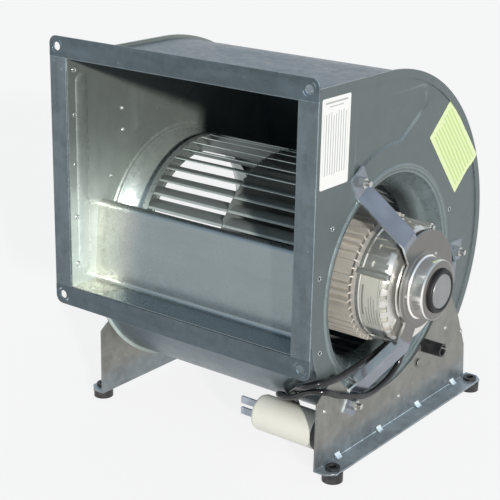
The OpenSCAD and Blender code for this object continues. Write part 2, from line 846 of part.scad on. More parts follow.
module capacitor() {
    len = cap_len - cap_base_len;
    color(WHITE_PLASTIC) at_cap(cap_x0) rotate_extrude() polygon([
        [0, 0], [cap_r - 4, 0], [cap_r - 1.2, 1.2], [cap_r, 4], [cap_r, len], [0, len]]);
}

module capacitor_base() {
    color(RUBBER)
    at_cap(plate_x - cap_base_len) cylinder(h = cap_base_len, r = cap_r - 0.5);
}

module capacitor_tabs() {
    color(BRIGHT_ZINC)
    for (s = [-1, 1])
        translate([cap_x0 - cap_tab_len, cap_y - 0.4, cap_z + s * cap_tab_pitch / 2 - 3.15])
            cube([cap_tab_len, 0.8, 6.3]);
}

// ---- gland and leads ----

gland_spot = [52, 85];
gland_r = 8.7;

module cable_gland() {
    color(RUBBER) translate([foot_x, gland_spot[0], gland_spot[1]]) rotate([0, 90, 0])
        difference() {
            union() {
                cylinder(h = 5, r = gland_r, $fn = 6);
                cylinder(h = 24, r = gland_r - 1);
            }
            translate([0, 0, 14]) cylinder(h = 12, r = gland_r - 3);
            translate([-1.2, 0, 16]) cube([2.4, gland_r, 10]);
        }
}

connector_size = [29, 30, 20];
connector_x0 = plate_x - connector_size[0];
connector_y = -97;
connector_z = 24;

module lead_connector() {
    color(RUBBER)
    translate([connector_x0, connector_y - connector_size[1] / 2, connector_z - connector_size[2] / 2])
        cube(connector_size);
}

lead_d = 7.4;
start_lead_d = 6.6;
lead_sides = 10;

// Route points, by hand: from the motor's underside over the foot's front corner, then
// between the capacitor and the scroll to the connector
low_bolt = polar(arm_bolt_r, arm_angles[2]);
function off_motor(dx, dr, a) =
    let (p = polar(motor_r + dr, a)) [plate_x + dx, p[0], p[1]];
function past_bolt(dx, dy, dz) = [plate_x + dx, low_bolt[0] + dy, low_bolt[1] + dz];
function by_plate(dx, y, z) = [plate_x + dx, y, z];
supply_route = [
    off_motor(12.8, 4.6, 255.7), off_motor(11.8, 15.6, 243.9), by_plate(8.8, -88, 113.5),
    by_plate(7.3, -110, 110.5), by_plate(7.3, -132, 110), by_plate(6.8, -150, 111.5),
    by_plate(1.8, -163.5, 112), by_plate(-9.2, -168, 107.5), by_plate(-22.2, -162, 100),
    by_plate(-36.2, -150, 88), by_plate(-48.2, -140, 76), by_plate(-56.2, -127.8, 66.8),
    by_plate(-58.2, -121.3, 62), by_plate(-59.2, -115.3, 56.8), by_plate(-58.2, -110, 46),
    by_plate(-51.2, -105, 33), by_plate(-42.2, -103, 25.5), [connector_x0 - 6, -103, 24],
    [connector_x0, -103, 24]];
start_route = [
    off_motor(13.8, 1.4, 279.7), off_motor(12.8, 15.8, 282.3), off_motor(10.3, 29.7, 281.1),
    past_bolt(8.3, 81.5, 16.6), past_bolt(8.3, 65.5, 8.6), past_bolt(8.8, 45.5, 4.6),
    past_bolt(9.3, 29.5, 4.1), past_bolt(9.8, 14.5, 6.1), past_bolt(9.8, 0, 10.1),
    past_bolt(8.8, -16.5, 16.1), by_plate(7.3, -136, 91), by_plate(6.6, -149, 98),
    by_plate(4.8, -158, 101.5), by_plate(-2.2, -162, 101.5), by_plate(-13.2, -160.5, 97),
    by_plate(-28.2, -158, 87), by_plate(-46.2, -155, 80), by_plate(-61.2, -144, 75),
    by_plate(-67.2, -127.8, 66.8), by_plate(-69.2, -121.3, 62), by_plate(-70.2, -115.3, 56.8),
    by_plate(-69.2, -110, 45), by_plate(-62.2, -100, 32), by_plate(-52.2, -93, 25.5),
    [connector_x0 - 6, -91, 24], [connector_x0, -91, 24]];

// Catmull-Rom point between b and c
function spline(a, b, c, d, t) =
    0.5 * (2 * b + (c - a) * t + (2 * a - 5 * b + 4 * c - d) * t * t
           + (3 * b - a - 3 * c + d) * t * t * t);
function smooth(p, n) = [for (i = [0 : len(p) - 2], j = [0 : n - 1])
    spline(p[max(i - 1, 0)], p[i], p[i + 1], p[min(i + 2, len(p) - 1)], j / n), p[len(p) - 1]];

function unit(v) = v / norm(v);
function tangent(p, i) = unit(p[min(i + 1, len(p) - 1)] - p[max(i - 1, 0)]);
// Carries the frame's side vector from ring to ring without twist
function sides_of(p, i = 0, s = [0, 0, 1]) =
    i == len(p) ? [] :
    let (t = tangent(p, i), n = unit(s - (s * t) * t))
    concat([n], sides_of(p, i + 1, n));

module lead(route, d) {
    p = smooth(route, 3);
    s = sides_of(p);
    points = [for (i = [0 : len(p) - 1])
        let (t = tangent(p, i), b = cross(t, s[i]))
        for (k = [0 : lead_sides - 1])
            let (a = 360 * k / lead_sides)
            p[i] + d / 2 * (cos(a) * s[i] + sin(a) * b)];
    walls = [for (i = [0 : len(p) - 2], k = [0 : lead_sides - 1])
        let (m = (k + 1) % lead_sides, r = i * lead_sides)
        [r + k, r + lead_sides + k, r + lead_sides + m, r + m]];
    ends = [[for (k = [0 : lead_sides - 1]) k],
            [for (k = [lead_sides - 1 : -1 : 0]) (len(p) - 1) * lead_sides + k]];
    polyhedron(points, concat(walls, ends));
}

module supply_lead() {
    color(RUBBER) lead(supply_route, lead_d);
}

module start_lead() {
    color(RUBBER) lead(start_route, start_lead_d);
}

module lead_grommets() {
    color(RUBBER)
    for (p = [supply_route, start_route])
        translate(p[0]) sphere(r = 5, $fn = 32);
}

// ---- assembly ----

scroll_wrap();
cutoff_plate();
side_plate_left();
side_plate_right();
flange_top();
flange_bottom();
flange_left();
flange_right();
foot_left();
foot_right();
foot_buffers();
foot_bolts();
foot_rivets();
motor_spider();
spider_collar();
spider_rivets();
rubber_ring();
arm_bolts();
arm_nuts();
motor_end_shell();
motor_drive_shell();
motor_screws();
stator_core();
stator_windings();
bearings();
shaft();
rotor_core();
impeller_hub();
hub_screw();
centre_disc();
blades_left();
blades_right();
end_ring_left();
end_ring_right();
capacitor();
capacitor_base();
capacitor_tabs();
cable_gland();
lead_grommets();
supply_lead();
start_lead();
lead_connector();
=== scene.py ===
# %% [markdown]
# # A double-inlet centrifugal blower
#
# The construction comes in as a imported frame: every sheet, bolt, blade and bearing is already at
# its real size and place, in metres, with +X along the shaft and -Y out of the outlet. This
# script only dresses it. It gives each surface its finish, lays the two motor leads along their
# real route, and adds what is too fine or too flat for the construction model, such as stickers.

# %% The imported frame
import math

import bpy
from mathutils import Matrix, Vector


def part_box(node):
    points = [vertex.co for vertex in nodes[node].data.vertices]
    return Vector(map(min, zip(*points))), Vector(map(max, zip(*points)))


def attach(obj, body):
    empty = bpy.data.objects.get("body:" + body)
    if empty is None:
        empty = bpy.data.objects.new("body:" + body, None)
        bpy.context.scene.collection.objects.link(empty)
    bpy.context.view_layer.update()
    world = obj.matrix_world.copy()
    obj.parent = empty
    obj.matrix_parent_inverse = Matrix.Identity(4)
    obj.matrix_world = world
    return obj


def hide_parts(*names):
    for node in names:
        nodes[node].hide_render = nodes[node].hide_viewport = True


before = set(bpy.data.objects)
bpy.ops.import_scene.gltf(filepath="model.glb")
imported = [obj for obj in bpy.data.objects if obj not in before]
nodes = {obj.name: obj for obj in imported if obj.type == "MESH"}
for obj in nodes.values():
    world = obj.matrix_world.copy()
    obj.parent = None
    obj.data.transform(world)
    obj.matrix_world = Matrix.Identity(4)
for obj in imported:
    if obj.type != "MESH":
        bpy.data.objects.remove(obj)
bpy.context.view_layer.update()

# %% [markdown]
# ## Camera
#
# A long lens from about 1.6 m away keeps the outlet's edges nearly parallel, as a catalogue
# picture does. The camera stands in front and to the right of the outlet, a little above it, and
# leans by about a degree. Its matrix is built from three angles, so that each can be read.

# %% Camera
CAMERA_PLACE = Vector((0.8395, -1.1914, 0.6730))
CAMERA_AZIMUTH = math.radians(37.12)
CAMERA_ELEVATION = math.radians(18.73)
CAMERA_ROLL = math.radians(1.17)


def camera_turn(azimuth, elevation, roll):
    """Rotation of a camera that looks from that azimuth and elevation, leaning by roll."""
    back = Vector((math.sin(azimuth) * math.cos(elevation),
                   -math.cos(azimuth) * math.cos(elevation), math.sin(elevation)))
    level = Vector((math.cos(azimuth), math.sin(azimuth), 0))
    upright = back.cross(level)
    right = math.cos(roll) * level + math.sin(roll) * upright
    up = math.cos(roll) * upright - math.sin(roll) * level
    return Matrix((right, up, back)).transposed()


camera = bpy.data.objects.new("camera", bpy.data.cameras.new("camera"))
bpy.context.scene.collection.objects.link(camera)
camera.matrix_world = (Matrix.Translation(CAMERA_PLACE)
                       @ camera_turn(CAMERA_AZIMUTH, CAMERA_ELEVATION, CAMERA_ROLL).to_4x4())
camera.data.sensor_width = 36
camera.data.lens = 95.4
bpy.context.scene.camera = camera
print("camera is", round(CAMERA_PLACE.length, 2), "m from the feet's middle")

# %% [markdown]
# ## The motor's two leads
#
# Two black sleeved leads leave the motor from below, hang over the foot's front corner and go in
# under the scroll, to the connector behind the capacitor. A curve object with a round bevel is
# the natural form for a cord: its points are its route, and its thickness is one number. The
# points are the same ones as in the construction, smoothed in the same way.

# %% Leads
CONNECTOR_X = 121.2
SUPPLY_ROUTE = [(163, -48, 123.5), (162, -66, 118.5), (159, -88, 113.5), (157.5, -110, 110.5),
                (157.5, -132, 110), (157, -150, 111.5), (152, -163.5, 112), (141, -168, 107.5),
                (128, -162, 100), (114, -150, 88), (102, -140, 76), (94, -127.8, 66.8),
                (92, -121.3, 62), (91, -115.3, 56.8), (92, -110, 46), (99, -105, 33),
                (108, -103, 25.5), (CONNECTOR_X - 6, -103, 24), (CONNECTOR_X, -103, 24)]
START_ROUTE = [(164, -20, 125.5), (163, -14, 112), (160.5, -13, 98), (158.5, -20, 84.5),
               (158.5, -36, 76.5), (159, -56, 72.5), (159.5, -72, 72), (160, -87, 74),
               (160, -101.5, 78), (159, -118, 84), (157.5, -136, 91), (156.8, -149, 98),
               (155, -158, 101.5), (148, -162, 101.5), (137, -160.5, 97), (122, -158, 87),
               (104, -155, 80), (89, -144, 75), (83, -127.8, 66.8), (81, -121.3, 62),
               (80, -115.3, 56.8), (81, -110, 45), (88, -100, 32), (98, -93, 25.5),
               (CONNECTOR_X - 6, -91, 24), (CONNECTOR_X, -91, 24)]
SMOOTHING = 6


def spline(a, b, c, d, t):
    """Point between b and c on the smooth curve through a, b, c and d."""
    return 0.5 * (2 * b + (c - a) * t + (2 * a - 5 * b + 4 * c - d) * t ** 2
                  + (3 * b - a - 3 * c + d) * t ** 3)


def smooth_route(points):
    """The route in metres, with SMOOTHING points for each of its stretches."""
    p = [Vector(point) / 1000 for point in points]
    last = len(p) - 1
    steps = [spline(p[max(i - 1, 0)], p[i], p[i + 1], p[min(i + 2, last)], j / SMOOTHING)
             for i in range(last) for j in range(SMOOTHING)]
    return steps + [p[last]]


def lay_cord(name, route, diameter, node):
    """A round cord along the route, in place of the construction's plain tube."""
    points = smooth_route(route)
    curve = bpy.data.curves.new(name, "CURVE")
    curve.dimensions = "3D"
    curve.bevel_depth = 1
    curve.bevel_resolution = 6
    curve.use_fill_caps = True
    line = curve.splines.new("POLY")
    line.points.add(len(points) - 1)
    for spot, point in zip(line.points, points):
        spot.co = (*point, 1)
        spot.radius = diameter / 2
    line.use_smooth = True
    cord = bpy.data.objects.new(name, curve)
    bpy.context.scene.collection.objects.link(cord)
    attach(cord, "housing")
    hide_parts(node)
    length = sum((b - a).length for a, b in zip(points, points[1:]))
    print(name, round(length * 1000), "mm long")
    return cord


supply_cord = lay_cord("supply_cord", SUPPLY_ROUTE, 0.0074, "supply_lead")
start_cord = lay_cord("start_cord", START_ROUTE, 0.0066, "start_lead")

# %% [markdown]
# ## A small language for materials
#
# A material is a graph of nodes, and arithmetic on masks takes a dozen Math nodes. It reads
# better as arithmetic: `Value` wraps a socket, and each operator adds the Math node that does it.
# `Graph` adds any other node with one method: its settings first, then the values or links of
# its inputs. `Finish` is the graph of one material.


# %% Shader language
class Value:
    """An output socket that can be used in arithmetic."""

    def __init__(self, graph, socket):
        self.graph = graph
        self.socket = socket

    def math(self, operation, *terms):
        return self.graph.node("ShaderNodeMath", {"operation": operation},
                               dict(enumerate(terms)))

    def __add__(self, other):
        return self.math("ADD", self, other)

    def __sub__(self, other):
        return self.math("SUBTRACT", self, other)

    def __rsub__(self, other):
        return self.math("SUBTRACT", other, self)

    def __mul__(self, other):
        return self.math("MULTIPLY", self, other)

    def __truediv__(self, other):
        return self.math("DIVIDE", self, other)

    def __pow__(self, other):
        return self.math("POWER", self, other)

    __radd__ = __add__
    __rmul__ = __mul__

    def most(self, other):
        return self.math("MAXIMUM", self, other)

    def least(self, other):
        return self.math("MINIMUM", self, other)

    def wave(self):
        return self.math("SINE", self)

    def size(self):
        return self.math("ABSOLUTE", self)

    def step(self, low, high):
        """0 below low, 1 above high, and a soft rise between them."""
        return self.graph.node("ShaderNodeMapRange", {"interpolation_type": "SMOOTHSTEP"},
                               {"Value": self, "From Min": low, "From Max": high})

    def rounded(self):
        """The nearest whole number."""
        return self.math("FLOOR", self + 0.5)

    def fraction(self):
        """What is left above the whole number below."""
        return self.math("FRACT", self)


class Graph:
    """A node tree, to which one method adds nodes of every kind."""

    def __init__(self, tree):
        self.tree = tree

    def node(self, kind, settings=None, inputs=None, output=0):
        made = self.tree.nodes.new(kind)
        for key, value in (settings or {}).items():
            if key == "stops":
                self.set_stops(made.color_ramp.elements, value)
            else:
                setattr(made, key, value)
        for key, value in (inputs or {}).items():
            self.feed(made.inputs[key], value)
        return None if output is None else Value(self, made.outputs[output])

    def set_stops(self, ramp, stops):
        """Gives a new ramp its stops, from pairs of place and colour."""
        for i, (place, colour) in enumerate(stops):
            stop = ramp[i] if i < 2 else ramp.new(place)
            stop.position, stop.color = place, (*colour, 1)

    def feed(self, socket, value):
        if isinstance(value, Value):
            self.tree.links.new(value.socket, socket)
        elif isinstance(value, (tuple, list)) and len(value) == 3 and socket.type == "RGBA":
            socket.default_value = (*value, 1)
        else:
            socket.default_value = value

    def seen(self):
        """1 for what the camera sees, directly, in a reflection or through glass."""
        rays = [self.node("ShaderNodeLightPath", output=f"Is {kind} Ray")
                for kind in ("Camera", "Glossy", "Transmission")]
        return (rays[0] + rays[1] + rays[2]).least(1.0)


class Finish(Graph):
    """One material, with a Principled surface whose sockets are set by name."""

    def __init__(self, name, **sockets):
        self.material = bpy.data.materials.new(name)
        self.material.use_nodes = True
        super().__init__(self.material.node_tree)
        self.surface = self.tree.nodes["Principled BSDF"]
        self.set(**sockets)

    def set(self, **sockets):
        for key, value in sockets.items():
            self.feed(self.surface.inputs[key.replace("_", " ").title()], value)
        return self

    def place(self, scale=(1, 1, 1)):
        """Where the shaded point is on the object, in metres, stretched by scale."""
        spot = self.node("ShaderNodeTexCoord", output="Object")
        return self.node("ShaderNodeMapping", {}, {"Vector": spot, "Scale": scale})

    def along(self, axis):
        """How far the shaded point is along an axis of the frame, in metres."""
        return self.node("ShaderNodeSeparateXYZ", {},
                         {0: self.node("ShaderNodeTexCoord", output="Object")}, output=axis)

    def turned(self, axis):
        """1 where the surface faces the axis's positive end, and -1 where it faces away."""
        return self.node("ShaderNodeSeparateXYZ", {},
                         {0: self.node("ShaderNodeTexCoord", output="Normal")}, output=axis)

    def facing(self, axis):
        """1 where the surface faces along that axis, either way, and 0 across it."""
        return self.turned(axis).size()

    def noise(self, size, detail=3, place=None, rough=0.55, distortion=0):
        """Cloudy values about 0.5, whose largest clouds are size metres across."""
        return self.node("ShaderNodeTexNoise", {},
                         {"Vector": place or self.place(), "Scale": 1 / size, "Detail": detail,
                          "Roughness": rough, "Distortion": distortion})

    def colour_mix(self, mask, first, second, blend="MIX"):
        """first where mask is 0, second where it is 1."""
        return self.node("ShaderNodeMix", {"data_type": "RGBA", "blend_type": blend},
                         {"Factor": mask, 6: first, 7: second}, output=2)

    def tint(self, shade, colour):
        """The colour, made darker or lighter by a shade about 1."""
        grey = self.node("ShaderNodeCombineColor", {}, {0: shade, 1: shade, 2: shade})
        return self.colour_mix(1.0, grey, colour, "MULTIPLY")

    def relief(self, height, depth):
        """Bumps of that depth in metres go into the surface's Normal."""
        self.set(normal=self.node("ShaderNodeBump", {}, {"Height": height, "Distance": depth,
                                                          "Strength": 1.0}))
        return self


def dress(finish, *names):
    """Gives the construction's pieces of those names that finish."""
    for name in names:
        slots = nodes[name].material_slots
        if slots:
            for slot in slots:
                slot.material = finish.material
        else:
            nodes[name].data.materials.append(finish.material)


# %% [markdown]
# ## Galvanised sheet
#
# Hot-dip galvanised steel is covered with zinc crystals, the spangle: flat grains a few
# millimetres across, each of which reflects a little differently. Smooth Voronoi cells in two
# sizes are such grains. Soft clouds and long faint streaks stand for rolling and storage marks.
# The zinc has weathered to a satin grey, so the surface is half metal, half dull coat.


# %% Galvanised sheet
shaft_low, shaft_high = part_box("shaft")
SHAFT_Y = (shaft_low[1] + shaft_high[1]) / 2
SHAFT_Z = (shaft_low[2] + shaft_high[2]) / 2


def off_shaft(finish):
    """Distance of the shaded point from the shaft's axis."""
    y = finish.along("Y") - SHAFT_Y
    z = finish.along("Z") - SHAFT_Z
    return (y * y + z * z) ** 0.5


def galvanised(name, colour, rough=0.42, grain=0.006, contrast=0.10, cloud=0.10, streak=0.08,
               specks=0.0, metal=0.55, stretch=(1, 1, 0.12), fine_grain=0.06, painted_light=None,
               dents=0.0007):
    finish = Finish(name, metallic=metal)
    spot = finish.place()
    bent = finish.node("ShaderNodeVectorMath", {"operation": "MULTIPLY_ADD"},
                       {0: finish.node("ShaderNodeTexNoise", {},
                                       {"Vector": spot, "Scale": 1 / grain}, output="Color"),
                        1: (grain * 0.8,) * 3, 2: spot})

    def grains(size):
        cells = finish.node("ShaderNodeTexVoronoi", {"feature": "SMOOTH_F1"},
                            {"Vector": bent, "Scale": 1 / size, "Smoothness": 0.35},
                            output="Color")
        return finish.node("ShaderNodeSeparateColor", {}, {0: cells}, output=0)

    small, large = grains(grain), grains(grain * 2.7)
    wide = finish.noise(0.09, detail=4)
    fine = finish.noise(0.0010, detail=2)
    drawn = finish.noise(0.012, detail=4, place=finish.place(stretch))
    tone = (1 + contrast * ((small - 0.5) + (large - 0.5)) + cloud * 2 * (wide - 0.5)
            + streak * 2 * (drawn - 0.5) + fine_grain * (fine - 0.5))
    if specks:
        pits = finish.node("ShaderNodeTexVoronoi", {}, {"Vector": bent, "Scale": 110.0},
                           output="Distance")
        tone = tone + specks * (1 - pits.step(0.05, 0.16)) * finish.noise(0.03).step(0.5, 0.6)
    shade = finish.tint(tone, colour)
    satin = rough + 0.12 * (small - 0.5) + 0.14 * (wide - 0.5) + 0.10 * (drawn - 0.5)
    # painted_light paints light, shade and highlights into the zinc's colour.
    if painted_light:
        shade, satin = painted_light(finish, shade, satin)
    finish.set(base_color=shade, roughness=satin)
    finish.relief(finish.noise(0.07, detail=1) + 0.15 * fine_grain * fine + 0.02 * drawn, dents)
    return finish


# %% [markdown]
# Light and shade are painted into the zinc's colour. Painted highlights on pressed folds, cut
# edges and blade tips make it brighter and smoother; painted sunlight and painted shadow make it
# brighter or darker. Each painted place is a mask from 0 to 1, worked out from where a point is
# and which way its face looks, so the mark stays on the same fold from every side.


# %% Painted light and shade on the zinc
def painted_highlight(mask, gain, shine=0.12):
    """Painted highlight: the zinc is brighter, and smoother, where mask(finish) is 1."""
    def painted_light(finish, shade, satin):
        highlit = mask(finish)
        return brighten(finish, shade, 1 + gain * highlit), satin - shine * highlit
    return painted_light


def brighten(finish, shade, tone):
    """The shade, times a tone about 1."""
    return finish.colour_mix(1.0, shade, finish.tint(tone, (1, 1, 1)), "MULTIPLY")


def pressed(finish):
    """Where a side plate is pressed out of its flat, on steps, beads and the inlet's lip."""
    return 1 - finish.facing("X").step(0.965, 0.993)


def lit_low(finish, shade, satin):
    """The left plate's inside, with painted light: painted highlights on its pressed folds, a
    painted shadow above, and painted sunlight low in front, where it meets the cutoff plate.
    """
    shade, satin = painted_highlight(pressed, 0.25)(finish, shade, satin)
    inside = finish.turned("X").step(0.2, 0.6)
    # low and front mark the painted sunlight; above it lies the painted shadow.
    low = 1 - (finish.along("Z") + 0.03 * (finish.noise(0.08) - 0.5)).step(0.215, 0.345)
    front = 1 - finish.along("Y").step(-0.150, -0.085)
    tone = 1 + inside * (1.10 * low * front - 0.30 * (1 - low))
    return brighten(finish, shade, tone), satin


def painted_sunlit_end(finish, shade, satin):
    """Painted sunlight: the cutoff plate's left end is brighter and a little yellow."""
    end = 1 - (finish.along("X") + 0.03 * (finish.noise(0.06) - 0.5)).step(-0.146, -0.075)
    sunlit = finish.colour_mix(1.0, shade, (2.50, 2.08, 1.80), "MULTIPLY")
    return finish.colour_mix(end, shade, sunlit), satin


def edges(finish):
    """Where a sheet's cut edge is rounded over, between its flat faces."""
    flat = finish.facing("X").most(finish.facing("Y")).most(finish.facing("Z"))
    return 1 - flat.step(0.85, 0.97)


# %% [markdown]
# Each sheet gets its own zinc. The motor's side plate is darker than the other one, which is a
# lit copy: its paler zinc is painted light for the sun that falls into the outlet. The wrap is a
# little blue. Rolling streaks run along a sheet's length, so `stretch` turns them. The side
# plates' pressed folds get a painted highlight. The flanges are the darkest and most scuffed,
# with painted highlights on their cut edges, and the cutoff plate's left end has painted sunlight.

# %% Zinc finishes
SCUFFED = {"rough": 0.34, "contrast": 0.16, "cloud": 0.28, "streak": 0.42, "specks": 0.9}
ALONG_X = (0.12, 1, 1)
# The side plates' pressed folds get a painted highlight.
housing_zinc = galvanised("housing_zinc", (0.140, 0.172, 0.176), contrast=0.06, cloud=0.08,
                          painted_light=painted_highlight(pressed, 0.55))
# The left plate's paler zinc is painted light: a lit copy of the side plate's zinc.
inside_zinc = galvanised("inside_zinc", (0.330, 0.378, 0.360), rough=0.38, contrast=0.05,
                         cloud=0.08, metal=0.45, painted_light=lit_low, dents=0.0002)
wrap_zinc = galvanised("wrap_zinc", (0.168, 0.212, 0.238), rough=0.38, contrast=0.07,
                       stretch=ALONG_X)
# The flanges' cut edges get a painted highlight.
upright_zinc = galvanised("upright_zinc", (0.132, 0.168, 0.186), **SCUFFED,
                          painted_light=painted_highlight(edges, 2.6))
level_zinc = galvanised("level_zinc", (0.092, 0.124, 0.143), **SCUFFED, stretch=ALONG_X,
                        painted_light=painted_highlight(edges, 2.6))
# The cutoff plate's left end gets painted sunlight.
cutoff_zinc = galvanised("cutoff_zinc", (0.275, 0.325, 0.340), rough=0.25, contrast=0.02,
                         cloud=0.08, metal=0.85, fine_grain=0.02, stretch=ALONG_X,
                         painted_light=painted_sunlit_end)
dress(housing_zinc, "side_plate_right")
dress(inside_zinc, "side_plate_left")
dress(wrap_zinc, "scroll_wrap")
dress(upright_zinc, "flange_left", "flange_right")
dress(level_zinc, "flange_top", "flange_bottom")
dress(cutoff_zinc, "cutoff_plate")
print("zinc on", sum("zinc" in m.name for m in bpy.data.materials), "kinds of sheet")

# %% [markdown]
# The feet are folded from heavier sheet with a coarser spangle. They are a warm grey, with painted
# light: a painted sky reflection makes them bluer at the floor, their top faces are painted paler,
# and the line of the fold and the four small gussets in it get painted highlights.


# %% Feet
FOLD_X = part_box("foot_bolts")[1][0] - 0.009
FOLD_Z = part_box("foot_right")[0][2] + 0.002


def foot_painted_light(finish, shade, satin):
    """Painted light: a painted sky reflection, bluer near the floor, paler painted top faces, and
    painted highlights on the fold's line and its gussets.
    """
    low = 1 - (finish.along("Z") + 0.02 * (finish.noise(0.05) - 0.5)).step(0.016, 0.050)
    shade = finish.colour_mix(low * 0.75, shade, finish.colour_mix(
        1.0, shade, (1.0, 1.20, 1.42), "MULTIPLY"))
    flat = finish.facing("X").most(finish.facing("Z"))
    gusset = (1 - flat.step(0.90, 0.98)) * (1 - finish.facing("Y").step(0.2, 0.5))
    line = ((1 - (finish.along("X").size() - FOLD_X).size().step(0.0003, 0.0008))
            * (1 - (finish.along("Z") - FOLD_Z).size().step(0.0003, 0.0008))
            * (1 - finish.along("Y").size().step(0.120, 0.124)))
    top = finish.facing("Z").step(0.9, 0.98) * 0.75
    bright = (gusset + 0.45 * line).least(1.0)
    return brighten(finish, shade, 1 + top + 2.6 * bright), satin - 0.22 * bright


foot_zinc = galvanised("foot_zinc", (0.235, 0.235, 0.220), rough=0.36, grain=0.007,
                       contrast=0.22, cloud=0.22, specks=0.5, metal=0.6, painted_light=foot_painted_light)
dress(foot_zinc, "foot_left", "foot_right")
print("fold at", round(FOLD_X * 1000, 1), round(FOLD_Z * 1000, 1), "mm")

# %% [markdown]
# ## The impeller
#
# The blades are the thinnest sheet. Their outer edges get a painted highlight: the finish turns
# bright at the blades' outer radius, as fine bright lines. The disc in the middle is seen only
# through the gaps between them, and has an almost plain finish.

# %% Impeller
BLADE_TIP = (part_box("blades_left")[1][2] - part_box("blades_left")[0][2]) / 2


def tip(finish):
    return off_shaft(finish).step(BLADE_TIP - 0.0016, BLADE_TIP - 0.0008)


# The blades' outer edges get a painted highlight.
blade_zinc = galvanised("blade_zinc", (0.265, 0.30, 0.295), rough=0.46, grain=0.004,
                        contrast=0.04, cloud=0.08, metal=0.4, fine_grain=0.0, dents=0.00005,
                        painted_light=painted_highlight(tip, 2.2, shine=0.0))
ring_zinc = galvanised("ring_zinc", (0.34, 0.38, 0.375), rough=0.30, grain=0.004,
                       contrast=0.07, cloud=0.10, metal=0.6, dents=0.0001)
dress(blade_zinc, "blades_left", "blades_right")
disc_zinc = galvanised("disc_zinc", (0.25, 0.28, 0.275), rough=0.48, grain=0.012, contrast=0.0,
                       cloud=0.04, streak=0.0, metal=0.35, fine_grain=0.0, dents=0.00002)
dress(ring_zinc, "end_ring_left", "end_ring_right")
dress(disc_zinc, "centre_disc", "impeller_hub")
print("blades reach", round(BLADE_TIP * 1000, 1), "mm from the axis")

# %% [markdown]
# ## Bright zinc plate, cast alloy, copper and steel
#
# The spider and the screws are electroplated: smoother and brighter than dipped sheet, with a
# faint blue cast from the passivation. The motor's shells are cast alloy, a warm grey with fine
# pores. The hidden core, winding and bearings get simple finishes of their own.


# %% Plated and cast metals
def plated(name, colour, rough=0.26, bloom=(0.36, 0.38, 0.46), metal=0.85, edge=0.0,
           edge_facing=(0.30, 0.60), hub=None):
    finish = Finish(name, metallic=metal)
    wide = finish.noise(0.035, detail=2, distortion=0.4)
    fine = finish.noise(0.0015, detail=2)
    bloomed = finish.colour_mix(wide.step(0.40, 0.70) * 0.5, colour, bloom)
    # edge paints a highlight on faces across the shaft.
    highlit = 1 - finish.facing("X").step(*edge_facing)
    if hub:
        bloomed = finish.colour_mix(off_shaft(finish).step(0.060, 0.064), hub, bloomed)
    finish.set(base_color=finish.tint(1 + 0.08 * (fine - 0.5) + 0.2 * (wide - 0.5) + edge * highlit,
                                      bloomed),
               roughness=rough + 0.14 * (wide - 0.5) + 0.04 * (fine - 0.5))
    finish.relief(wide + 0.01 * fine, 0.0005)
    return finish


def cast(name, colour, rough=0.36, pores=0.0010, metal=0.6):
    finish = Finish(name, metallic=metal)
    wide = finish.noise(0.02, detail=3)
    skin = finish.noise(pores, detail=4)
    finish.set(base_color=finish.tint(1 + 0.35 * (wide - 0.5) + 0.2 * (skin - 0.5), colour),
               roughness=rough + 0.2 * (skin - 0.5) + 0.15 * (wide - 0.5))
    finish.relief(skin, 0.00012)
    return finish


# The spider's edges and the collar's side get a painted highlight.
spider_plate = plated("spider_plate", (0.26, 0.285, 0.325), rough=0.24,
                      bloom=(0.32, 0.35, 0.41), edge=2.2, hub=(0.20, 0.196, 0.188))
collar_plate = plated("collar_plate", (0.215, 0.21, 0.20), rough=0.17,
                      bloom=(0.20, 0.205, 0.21), edge=3.6, edge_facing=(0.80, 0.97))
screw_plate = plated("screw_plate", (0.55, 0.56, 0.55), rough=0.2, bloom=(0.5, 0.5, 0.42))
end_alloy = cast("end_alloy", (0.74, 0.73, 0.69), rough=0.22, metal=0.8)
fin_alloy = cast("fin_alloy", (0.74, 0.71, 0.66), rough=0.42, metal=0.4)
core_steel = cast("core_steel", (0.22, 0.22, 0.23), rough=0.5)
bearing_steel = cast("bearing_steel", (0.5, 0.5, 0.5), rough=0.25, pores=0.0006, metal=0.95)
copper = cast("copper", (0.45, 0.17, 0.07), rough=0.35, pores=0.0012, metal=0.9)
dress(spider_plate, "motor_spider")
dress(collar_plate, "spider_collar")
dress(screw_plate, "foot_bolts", "foot_rivets", "spider_rivets", "arm_bolts", "arm_nuts",
      "motor_screws", "hub_screw")
dress(end_alloy, "motor_end_shell")
dress(fin_alloy, "motor_drive_shell")
dress(core_steel, "stator_core", "rotor_core")
dress(bearing_steel, "bearings", "shaft")
dress(copper, "stator_windings")

# %% [markdown]
# ## Rubber and plastics
#
# Black rubber is never quite black: pale dust lies on it in patches. The leads' sleeves are
# smoother and cleaner. The capacitor's can is moulded plastic in a warm white.


# %% Rubber and plastics
def dusty(name, colour, rough, dust=0.25):
    finish = Finish(name)
    wide = finish.noise(0.012, detail=4)
    fine = finish.noise(0.0010, detail=3)
    veil = wide.step(0.45, 0.75) * dust
    finish.set(base_color=finish.colour_mix(veil, colour, (0.20, 0.19, 0.17)),
               roughness=rough + 0.25 * (fine - 0.5) + 0.2 * veil)
    finish.relief(fine, 0.00008)
    return finish


rubber = dusty("rubber", (0.014, 0.014, 0.016), 0.42)
sleeve = dusty("sleeve", (0.010, 0.010, 0.012), 0.19, dust=0.03)
moulded = dusty("moulded", (0.88, 0.88, 0.79), 0.36, dust=0.04)
moulded.set(coat_weight=0.2)
dress(rubber, "foot_buffers", "rubber_ring", "capacitor_base", "cable_gland", "lead_grommets",
      "lead_connector")
dress(moulded, "capacitor")
for cord in (supply_cord, start_cord):
    cord.data.materials.append(sleeve.material)

